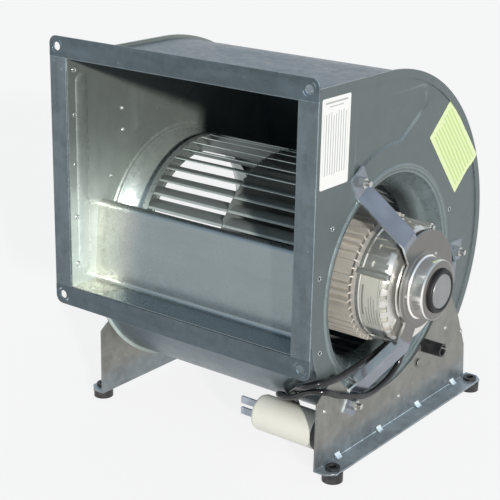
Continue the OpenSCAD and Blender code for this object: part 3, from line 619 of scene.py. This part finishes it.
# %% [markdown]
# ## Tools for added flat pieces
#
# The two paper stickers and the terminals start as one flat outline at the origin: a plane is
# stretched to size, its corners are rounded, and the whole is pushed out to its thickness. Then
# it is turned and carried to its place, and the move is applied, so that the piece's own origin
# ends at the frame's origin.


# %% Added pieces
def settle(piece, matrix, body, finish):
    """Moves a piece for good, puts it on a body and gives it its finish."""
    piece.matrix_world = matrix
    bpy.ops.object.select_all(action="DESELECT")
    piece.select_set(True)
    bpy.context.view_layer.objects.active = piece
    bpy.ops.object.transform_apply(location=True, rotation=True, scale=True)
    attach(piece, body)
    piece.data.materials.append(finish.material)
    return piece


def tablet(name, width, height, thickness, corner):
    """A flat plate with rounded corners, in the XY plane, its back at z = 0."""
    bpy.ops.object.select_all(action="DESELECT")
    bpy.ops.mesh.primitive_plane_add(size=1)
    piece = bpy.context.object
    piece.name = name
    piece.data.name = name
    bpy.ops.object.mode_set(mode="EDIT")
    bpy.ops.transform.resize(value=(width, height, 1))
    bpy.ops.mesh.bevel(affect="VERTICES", offset=corner, segments=4)
    bpy.ops.mesh.extrude_region_move(TRANSFORM_OT_translate={"value": (0, 0, thickness)})
    bpy.ops.mesh.select_all(action="SELECT")
    bpy.ops.mesh.normals_make_consistent(inside=False)
    bpy.ops.object.mode_set(mode="OBJECT")
    return piece


def on_plate(x, y, z, turn=0.0):
    """Lays a tablet on the motor side's plate: its width along +Y, its height along +Z."""
    lie = Matrix(((0, 0, 1), (1, 0, 0), (0, 1, 0))).to_4x4()
    return Matrix.Translation((x, y, z)) @ Matrix.Rotation(turn, 4, "X") @ lie


# %% [markdown]
# ## Stickers
#
# Three stickers sit on the fan: a white one beside the outlet, a pale green one near the back,
# and a silver nameplate round the motor. They are left without words. Plain ruled lines stand
# for the print, drawn by the material from the distance to the sticker's middle.

# %% Stickers
STICKER_T = 0.0003
RATING_PLACE = (-0.1475, 0.362)
RATING_SIZE = (0.049, 0.090)
NOTE_PLACE = (0.0907, 0.3124)
NOTE_SIZE = (0.0565, 0.0994)
NOTE_TURN = math.atan2(75.6, 64.5) - math.pi / 2
CURL_REACH = 0.024
plate_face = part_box("scroll_wrap")[1][0] + 0.0012


def row_middle(across, pitch):
    """Distance from the middle of a row, as a share of the pitch."""
    return ((across / pitch + 0.5).fraction() - 0.5).size()


def row_chance(across, pitch, seed):
    """A number from 0 to 1 that differs from row to row, and is the same on every run."""
    index = (across / pitch).rounded() + seed
    return ((index * 12.9898).wave() * 43.7).fraction()


def ruled(name, paper, ink, middle, turn, rules, pitch, width, half, headings=()):
    """Paper with parallel rules along v, repeated along u, and headings across them."""
    finish = Finish(name, roughness=0.32, metallic=0.0)
    spot = finish.node("ShaderNodeTexCoord", output="Object")
    local = finish.node("ShaderNodeVectorRotate", {"rotation_type": "X_AXIS"},
                        {"Vector": spot, "Center": middle, "Angle": -turn})
    u, v = (finish.node("ShaderNodeSeparateXYZ", {}, {0: local}, output=axis) - offset
            for axis, offset in zip("YZ", middle[1:]))
    line = 1 - row_middle(u, pitch).step(width / 2, width / 2 + 0.08)
    ragged = row_chance(u, pitch, 0.37)
    inside = 1 - (v + 0.004 * ragged).size().step(half[1] - 0.004 * ragged, half[1])
    edge = 1 - u.size().step(half[0] - 0.0005, half[0])
    mask = line * inside * edge
    for place, reach, thick in headings:
        mask = mask.most((1 - (v - place).size().step(thick / 2, thick / 2 + 0.0002))
                         * (1 - u.size().step(reach, reach + 0.0003)))
    mask = mask * rules
    stain = finish.noise(0.02, detail=3)
    finish.set(base_color=finish.colour_mix(mask, finish.tint(1 + 0.06 * (stain - 0.5), paper),
                                            ink))
    return finish


rating_paper = ruled("rating_paper", (0.86, 0.87, 0.86), (0.30, 0.31, 0.32),
                     (plate_face, *RATING_PLACE), 0.0, 0.75, 0.0042, 0.22, (0.021, 0.031),
                     headings=((0.0402, 0.019, 0.0016), (0.0362, 0.012, 0.0008)))
rating = tablet("rating_sticker", *RATING_SIZE, STICKER_T, 0.002)
settle(rating, on_plate(plate_face, *RATING_PLACE), "housing", rating_paper)

note_paper = ruled("note_paper", (0.72, 0.83, 0.47), (0.42, 0.60, 0.14),
                   (plate_face, *NOTE_PLACE), -NOTE_TURN, 0.75, 0.0052, 0.34,
                   (0.025, 0.044))
note = tablet("note_sticker", *NOTE_SIZE, STICKER_T, 0.001)
bpy.ops.object.mode_set(mode="EDIT")
bpy.ops.mesh.select_all(action="SELECT")
bpy.ops.mesh.subdivide(number_cuts=12)
bpy.ops.object.mode_set(mode="OBJECT")
settle(note, on_plate(plate_face, *NOTE_PLACE, -NOTE_TURN), "housing", note_paper)
corner = max(note.data.vertices, key=lambda v: v.co.y).co.copy()
for vertex in note.data.vertices:
    near = max(0.0, 1 - (vertex.co - corner).length / CURL_REACH)
    vertex.co.x += 0.0020 * min(1.0, 2.2 * near) ** 2
note.data.update()
print("the note's lifted corner is", round((corner.z - SHAFT_Z) * 1000), "mm above the shaft")

# %% [markdown]
# ## Nameplate round the motor
#
# The motor's plate is a thin silver band bent round the end shell, between two of its screw
# pillars. It is cut from an open tube: the tube's other faces are deleted, and Solidify gives
# the band its thickness. Its rules follow the bend, by the angle round the shaft.

# %% Nameplate
BAND_R = 0.0643
BAND_X = (0.1525, 0.1765)
BAND_ANGLES = (159, 218)
BAND_PITCH = 0.0031
MOTOR_SIDES = 240


def round_shaft(finish):
    """Angle of the shaded point round the shaft, 0 towards +Y and pi/2 upwards, to 2 pi."""
    turned = finish.node("ShaderNodeMath", {"operation": "ARCTAN2"},
                         {0: finish.along("Z") - SHAFT_Z, 1: finish.along("Y") - SHAFT_Y})
    return turned + 2 * math.pi * (1 - turned.step(-0.001, 0.0))


def angle_at(point):
    return math.degrees(math.atan2(point.z - SHAFT_Z, point.y - SHAFT_Y)) % 360


bpy.ops.object.select_all(action="DESELECT")
bpy.ops.mesh.primitive_cylinder_add(
    vertices=MOTOR_SIDES, radius=BAND_R, depth=BAND_X[1] - BAND_X[0], end_fill_type="NOTHING",
    location=((BAND_X[0] + BAND_X[1]) / 2, SHAFT_Y, SHAFT_Z), rotation=(0, math.pi / 2, 0))
band = bpy.context.object
band.name = band.data.name = "motor_nameplate"
bpy.ops.object.transform_apply(location=True, rotation=True, scale=True)
bpy.ops.object.mode_set(mode="EDIT")
bpy.ops.mesh.select_mode(type="FACE")
bpy.ops.mesh.select_all(action="DESELECT")
bpy.ops.object.mode_set(mode="OBJECT")
for face in band.data.polygons:
    face.select = not BAND_ANGLES[0] < angle_at(face.center) < BAND_ANGLES[1]
bpy.ops.object.mode_set(mode="EDIT")
bpy.ops.mesh.delete(type="FACE")
bpy.ops.mesh.select_all(action="SELECT")
bpy.ops.mesh.normals_make_consistent(inside=False)
bpy.ops.object.mode_set(mode="OBJECT")
thick = band.modifiers.new("thickness", "SOLIDIFY")
thick.thickness = 0.0003
thick.offset = 1
bpy.ops.object.modifier_apply(modifier=thick.name)
bpy.ops.object.shade_smooth_by_angle(angle=math.radians(30))

# %% [markdown]
# The plate's print is left as plain ruled lines: one thick line, thin rows of ragged length
# beside it, and a frame line round the rim, all darker than the foil.

# %% Nameplate foil
foil = Finish("foil", metallic=0.35, roughness=0.38)
across = foil.along("X") - (BAND_X[0] + BAND_X[1]) / 2
span = (round_shaft(foil) - math.radians(sum(BAND_ANGLES) / 2)) * BAND_R
ragged_end = 0.014 * row_chance(across, BAND_PITCH, 0.61)
thin = ((1 - row_middle(across, BAND_PITCH).step(0.10, 0.18))
        * (1 - (across - 0.003).size().step(0.0072, 0.0075))
        * (1 - (span - ragged_end).size().step(0.0245 - ragged_end, 0.025 - ragged_end)))
title = ((1 - (across + 0.0078).size().step(0.0010, 0.0013))
         * (1 - (span + 0.004).size().step(0.017, 0.0175)))
frame_line = (1 - (across.size() - 0.0108).size().step(0.0001, 0.0003)).most(
    1 - (span.size() - 0.0315).size().step(0.0002, 0.0004))
print_mask = (thin.most(title) * 0.8).most(frame_line)
haze = foil.noise(0.012, detail=3)
foil.set(base_color=foil.colour_mix(print_mask * 0.75,
                                    foil.tint(1 + 0.12 * (haze - 0.5), (0.86, 0.85, 0.76)),
                                    (0.10, 0.10, 0.10)),
         roughness=0.36 + 0.15 * (haze - 0.5))
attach(band, "housing")
band.data.materials.append(foil.material)
print("nameplate", len(band.data.polygons), "faces")

# %% [markdown]
# ## Terminals on the capacitor
#
# Two flat receptacles are pushed on the capacitor's blades. Each is a plain flat bar with
# rounded corners and edges. One is modelled and then copied.

# %% Terminals
tabs_low, tabs_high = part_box("capacitor_tabs")
SLEEVE_LENGTH, SLEEVE_WIDTH, SLEEVE_THICK = 0.026, 0.0084, 0.0026
BLADE_HALF = 0.00315
tin = cast("tin", (0.42, 0.47, 0.54), rough=0.30, pores=0.0008, metal=0.6)
first_sleeve = tablet("terminal_0", SLEEVE_LENGTH, SLEEVE_WIDTH, SLEEVE_THICK, 0.0012)
bpy.ops.object.mode_set(mode="EDIT")
bpy.ops.mesh.select_all(action="SELECT")
bpy.ops.mesh.bevel(offset=0.0004, segments=2, affect="EDGES")
bpy.ops.object.mode_set(mode="OBJECT")
second_sleeve = bpy.data.objects.new("terminal_1", first_sleeve.data.copy())
second_sleeve.data.name = "terminal_1"
bpy.context.scene.collection.objects.link(second_sleeve)
stand = Matrix(((1, 0, 0), (0, 0, -1), (0, 1, 0))).to_4x4()
for sleeve_piece, height in ((first_sleeve, tabs_low[2] + BLADE_HALF),
                             (second_sleeve, tabs_high[2] - BLADE_HALF)):
    spot = (tabs_high[0] - 0.0005 - SLEEVE_LENGTH / 2,
            tabs_low[1] + 0.0004 + SLEEVE_THICK / 2, height)
    settle(sleeve_piece, Matrix.Translation(spot) @ stand, "housing", tin)
    print(sleeve_piece.name, "at", round(height * 1000, 1), "mm over the ground")

# %% [markdown]
# ## Raised burrs round the small holes
#
# Each small hole in the side plates is pierced, which leaves a fine raised burr round it. The
# burrs are on both plates' outer faces and on the left plate's inner face, which shows through
# the outlet. A torus is added, flattened in edit mode, and copied to each hole. A hole's place is
# given by how many millimetres it lies outside the arm bolts' circle, and by its angle round the
# shaft. The white sticker covers two of them on the motor's side.

# %% Burrs
ARM_BOLT_R = 0.141
CLIP_HOLES = [(0.8, 144.2), (-1.3, 165.1), (-4, 199.6), (-8.6, 21.7), (21.6, 125.7), (43, 121.5)]
COVERED_HOLES = CLIP_HOLES[4:]
PLATE_X = 0.1502
INNER_X = PLATE_X - 0.0016


def round_hub(x, radius, degrees):
    """Moves a piece to a place off the shaft, at that angle, at x along the shaft."""
    turn = math.radians(degrees)
    return Matrix.Translation((x, SHAFT_Y + radius * math.cos(turn),
                               SHAFT_Z + radius * math.sin(turn)))


def ring(name, radius, wire):
    """A flat ring about the origin, whose axis is +X."""
    bpy.ops.object.select_all(action="DESELECT")
    bpy.ops.mesh.primitive_torus_add(major_radius=radius, minor_radius=wire, major_segments=24,
                                     minor_segments=8, rotation=(0, math.pi / 2, 0))
    piece = bpy.context.object
    piece.name = piece.data.name = name
    bpy.ops.object.transform_apply(location=True, rotation=True, scale=True)
    bpy.ops.object.mode_set(mode="EDIT")
    bpy.ops.mesh.select_all(action="SELECT")
    bpy.ops.transform.resize(value=(0.7, 1, 1))
    bpy.ops.object.mode_set(mode="OBJECT")
    bpy.ops.object.shade_smooth()
    return piece


def copies(first, name, places, finish, body="housing"):
    """Copies of a piece, each with its own mesh moved by its matrix, joined as one piece."""
    made = []
    for matrix in places:
        twin = bpy.data.objects.new(name, first.data.copy())
        bpy.context.scene.collection.objects.link(twin)
        twin.matrix_world = matrix
        made.append(twin)
    bpy.data.objects.remove(first)
    bpy.ops.object.select_all(action="DESELECT")
    for twin in made:
        twin.select_set(True)
    bpy.context.view_layer.objects.active = made[0]
    bpy.ops.object.transform_apply(location=True, rotation=True, scale=True)
    bpy.ops.object.join()
    joined = bpy.context.object
    joined.name = joined.data.name = name
    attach(joined, body)
    joined.data.materials.append(finish.material)
    return joined


bright_zinc = plated("bright_zinc", (0.62, 0.66, 0.66), rough=0.24, bloom=(0.5, 0.55, 0.55),
                     metal=0.7)
hole_places = []
for hole in CLIP_HOLES:
    reach, degrees = ARM_BOLT_R + hole[0] / 1000, hole[1]
    hole_places.append(round_hub(-PLATE_X - 0.0001, reach, degrees))
    if hole not in COVERED_HOLES:
        hole_places.append(round_hub(PLATE_X + 0.0001, reach, degrees))
    hole_places.append(round_hub(-INNER_X, reach, degrees))
copies(ring("burr", 0.0023, 0.0005), "hole_burrs", hole_places, bright_zinc)
print(len(hole_places), "burrs")

# %% [markdown]
# ## Clinched joints inside the outlet
#
# The outlet's frame is clinched to the side plates: a punch presses both sheets into a small
# round button. Each button is a short disc, inset and sunk in its middle.

# %% Clinches
CLINCH_Y = -0.2005
CLINCH_Z = (0.3997, 0.3513, 0.2964, 0.2370, 0.1830)
bpy.ops.object.select_all(action="DESELECT")
bpy.ops.mesh.primitive_cylinder_add(vertices=20, radius=0.0030, depth=0.0009,
                                    rotation=(0, math.pi / 2, 0))
button = bpy.context.object
bpy.ops.object.transform_apply(location=True, rotation=True, scale=True)
bpy.ops.object.mode_set(mode="EDIT")
bpy.ops.mesh.select_mode(type="FACE")
bpy.ops.mesh.select_all(action="DESELECT")
bpy.ops.object.mode_set(mode="OBJECT")
for face in button.data.polygons:
    face.select = face.normal.x > 0.9
bpy.ops.object.mode_set(mode="EDIT")
bpy.ops.mesh.inset(thickness=0.0006, depth=0)
bpy.ops.mesh.inset(thickness=0.0006, depth=-0.0006)
bpy.ops.mesh.select_all(action="SELECT")
bpy.ops.mesh.bevel(offset=0.00015, segments=1, affect="EDGES")
bpy.ops.object.mode_set(mode="OBJECT")
bpy.ops.object.shade_smooth_by_angle(angle=math.radians(40))
clinch_places = []
for z in CLINCH_Z:
    clinch_places.append(Matrix.Translation((-INNER_X, CLINCH_Y, z)))
    clinch_places.append(Matrix.Translation((INNER_X, CLINCH_Y, z))
                         @ Matrix.Rotation(math.pi, 4, "Z"))
copies(button, "clinches", clinch_places, bright_zinc)
print(len(clinch_places), "clinched joints")

# %% [markdown]
# ## Low rivets at the feet
#
# The feet are joined to the plates by low pressed rivets, so nothing stands up from the foot but
# a flat dome. A sphere is cut in half and flattened, and a copy goes to each of three joints.
# The rivets take the place of the construction's foot bolts.

# %% Foot rivets
bpy.ops.object.select_all(action="DESELECT")
bpy.ops.mesh.primitive_uv_sphere_add(segments=24, ring_count=12, radius=0.0052)
dome = bpy.context.object
bpy.ops.object.mode_set(mode="EDIT")
bpy.ops.mesh.select_all(action="SELECT")
bpy.ops.mesh.bisect(plane_co=(0, 0, 0), plane_no=(-1, 0, 0), use_fill=True, clear_outer=True)
bpy.ops.mesh.select_all(action="SELECT")
bpy.ops.transform.resize(value=(0.22, 1, 1))
bpy.ops.mesh.normals_make_consistent(inside=False)
bpy.ops.object.mode_set(mode="OBJECT")
bpy.ops.object.shade_smooth_by_angle(angle=math.radians(40))
rivet_places = []
for side, degrees in ((-1, 240), (-1, 300), (1, 300)):
    flip = Matrix.Rotation(math.pi if side < 0 else 0, 4, "Z")
    rivet_places.append(round_hub(side * (PLATE_X + 0.0019), ARM_BOLT_R, degrees) @ flip)
joint_zinc = galvanised("joint_zinc", (0.235, 0.235, 0.220), rough=0.36, grain=0.007,
                        contrast=0.2, metal=0.6)
foot_joints = copies(dome, "foot_joints", rivet_places, joint_zinc)
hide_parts("foot_bolts")
print(len(rivet_places), "low rivets")

# %% [markdown]
# ## Rubber ring and boss face
#
# A thick rubber ring holds the motor's boss in the collar, and swells out of it as a black lip.
# The boss ends level with the lip, in a turned face with a small chamfer. Each half outline is
# drawn as a chain of points, and Spin turns it round the shaft. The ends of the turn are merged
# and the normals recalculated, because Spin can turn a shape inside out.


# %% Rubber ring and boss face
def turned_piece(name, outline, finish):
    """A piece turned round the shaft from points (along the shaft, off the shaft)."""
    bpy.ops.object.select_all(action="DESELECT")
    bpy.ops.mesh.primitive_circle_add(vertices=len(outline), radius=0.01, fill_type="NOTHING")
    piece = bpy.context.object
    piece.name = piece.data.name = name
    for vertex, (x, r) in zip(piece.data.vertices, outline):
        vertex.co = (x, SHAFT_Y, SHAFT_Z + r)
    bpy.ops.object.mode_set(mode="EDIT")
    bpy.ops.mesh.select_all(action="SELECT")
    bpy.ops.mesh.spin(steps=72, angle=2 * math.pi, center=(0, SHAFT_Y, SHAFT_Z), axis=(1, 0, 0))
    bpy.ops.mesh.select_all(action="SELECT")
    bpy.ops.mesh.remove_doubles(threshold=1e-5)
    bpy.ops.mesh.delete_loose(use_verts=True, use_edges=True, use_faces=False)
    bpy.ops.mesh.select_all(action="SELECT")
    bpy.ops.mesh.normals_make_consistent(inside=False)
    bpy.ops.object.mode_set(mode="OBJECT")
    bpy.ops.object.shade_smooth_by_angle(angle=math.radians(40))
    piece.data.materials.append(finish.material)
    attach(piece, "housing")
    print(name, len(piece.data.polygons), "faces")
    return piece


collar_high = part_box("spider_collar")[1]
ring_low, ring_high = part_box("rubber_ring")
BOSS_R = 0.01905
RING_R = (ring_high[2] - ring_low[2]) / 2
FACE_X = collar_high[0] - 0.0002
LIP_X = FACE_X + 0.0045
black_rubber = dusty("black_rubber", (0.008, 0.008, 0.010), 0.52, dust=0.0)
boss_alloy = cast("boss_alloy", (0.28, 0.29, 0.295), rough=0.30, metal=0.6)
lip = turned_piece("rubber_lip", [
    (ring_low[0], BOSS_R), (ring_low[0], RING_R), (FACE_X - 0.0035, RING_R),
    (FACE_X - 0.0018, RING_R - 0.0018), (FACE_X - 0.0017, 0.0242), (FACE_X, 0.0240),
    (LIP_X - 0.0014, 0.0238), (LIP_X - 0.0004, 0.0232), (LIP_X, 0.0222), (LIP_X, 0.0206),
    (LIP_X - 0.0005, 0.0196), (LIP_X - 0.0014, BOSS_R)], black_rubber)
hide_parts("rubber_ring")
turned_piece("boss_face", [
    (FACE_X - 0.0060, 0.0), (FACE_X - 0.0060, BOSS_R - 0.0001), (LIP_X - 0.0010, BOSS_R - 0.0001),
    (LIP_X - 0.0004, BOSS_R - 0.0007), (LIP_X - 0.0004, 0.0)], boss_alloy)
print("lip reaches", round(LIP_X * 1000, 1), "mm")

# %% [markdown]
# ## Smooth curves on the construction's pieces
#
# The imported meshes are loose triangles. A Weld modifier joins them, smooth shading then rounds
# what is curved, and an Edge Split modifier keeps sharp folds crisp. The flat flanges and feet
# get a fine Bevel in its place, so that their cut edges catch the light. Weighted normals keep
# large faces flat. All are live modifiers, so the construction's own meshes stay as they are.

# %% Smooth curves
WELD_DISTANCE = 1e-6
FOLD_ANGLE = 30
FOLD_ANGLES = {"motor_spider": 12}
CUT_SHEETS = ("flange_top", "flange_bottom", "flange_left", "flange_right", "foot_left",
              "foot_right")


def round_cut_edges(node):
    """Merges the triangles of flat faces, and rounds the edges between them a little."""
    flats = node.modifiers.new("flats", "DECIMATE")
    flats.decimate_type = "DISSOLVE"
    flats.angle_limit = math.radians(1)
    rounding = node.modifiers.new("rounding", "BEVEL")
    rounding.width = 0.0004
    rounding.segments = 2
    rounding.limit_method = "ANGLE"
    rounding.angle_limit = math.radians(35)


for name, node in nodes.items():
    for face in node.data.polygons:
        face.use_smooth = True
    weld = node.modifiers.new("weld", "WELD")
    weld.merge_threshold = WELD_DISTANCE
    if name in CUT_SHEETS:
        round_cut_edges(node)
    else:
        split = node.modifiers.new("folds", "EDGE_SPLIT")
        split.split_angle = math.radians(FOLD_ANGLES.get(name, FOLD_ANGLE))
    weigh = node.modifiers.new("flat_faces", "WEIGHTED_NORMAL")
    weigh.mode = "FACE_AREA"
    weigh.weight = 60
print(len(CUT_SHEETS), "sheets with rounded edges,", len(nodes) - len(CUT_SHEETS), "others")

# %% [markdown]
# ## Floor, light and backdrop
#
# The blower stands on a plain pale floor. What the camera sees of the floor, directly or in a
# reflection, is mostly plain glow, so that it stays pale. The rest is an ordinary matt surface,
# which keeps the blower's shadow.

# %% Floor
FLOOR_GLOW = 0.84
bpy.ops.object.select_all(action="DESELECT")
bpy.ops.mesh.primitive_plane_add(size=60, location=(0, 0, 0))
floor = bpy.context.object
floor.name = "floor"
matt = Finish("floor", base_color=(0.82, 0.82, 0.82), roughness=0.9)
glow = matt.node("ShaderNodeEmission", {}, {"Color": (1.0, 1.0, 1.0)})
pale = matt.node("ShaderNodeMixShader", {}, {0: matt.seen() * FLOOR_GLOW,
                                             1: Value(matt, matt.surface.outputs[0]), 2: glow})
matt.feed(matt.tree.nodes["Material Output"].inputs["Surface"], pale)
floor.data.materials.append(matt.material)
print("floor", round(floor.dimensions.x), "m across")

# %% [markdown]
# Sheet metal shows what is around it more than it shows its own colour. The world that it
# reflects is white at the horizon and a cooler grey overhead, so each face takes a soft change of
# tone from its slope. The light that falls on matt surfaces is a plain, even sky.

# %% World
SKY_STOPS = [(0.12, (0.94, 0.94, 0.94)), (0.45, (0.66, 0.75, 0.86)), (0.85, (0.30, 0.37, 0.46))]
world = bpy.data.worlds.new("studio")
bpy.context.scene.world = world
world.use_nodes = True
world.node_tree.nodes.clear()
sky = Graph(world.node_tree)
height = sky.node("ShaderNodeSeparateXYZ", {},
                  {0: sky.node("ShaderNodeTexCoord", output="Generated")}, output="Z")
seen_sky = sky.node("ShaderNodeBackground", {}, {
    "Color": sky.node("ShaderNodeValToRGB", {"stops": SKY_STOPS}, {0: height})})
lit_sky = sky.node("ShaderNodeBackground", {}, {"Color": (0.86, 0.93, 1.0), "Strength": 0.42})
both = sky.node("ShaderNodeMixShader", {}, {0: sky.seen(), 1: lit_sky, 2: seen_sky})
sky.node("ShaderNodeOutputWorld", {}, {"Surface": both}, output=None)
print("sky has", len(SKY_STOPS), "tones")

# %% [markdown]
# One low, slightly soft and slightly warm lamp from the right shines into the outlet. It lights
# the cutoff plate and the left plate's lower half, and leaves the inside of the scroll dark.

# %% Lamp
LAMP_AZIMUTH = math.radians(53.4)
LAMP_ELEVATION = math.radians(14)
lamp = bpy.data.objects.new("key_lamp", bpy.data.lights.new("key_lamp", "SUN"))
bpy.context.scene.collection.objects.link(lamp)
lamp.data.energy = 2.9
lamp.data.angle = math.radians(3)
lamp.data.color = (1.0, 0.96, 0.90)
lamp.matrix_world = camera_turn(LAMP_AZIMUTH, LAMP_ELEVATION, 0).to_4x4()
bpy.context.scene.view_settings.view_transform = "Standard"
print("lamp of strength", round(lamp.data.energy, 1))
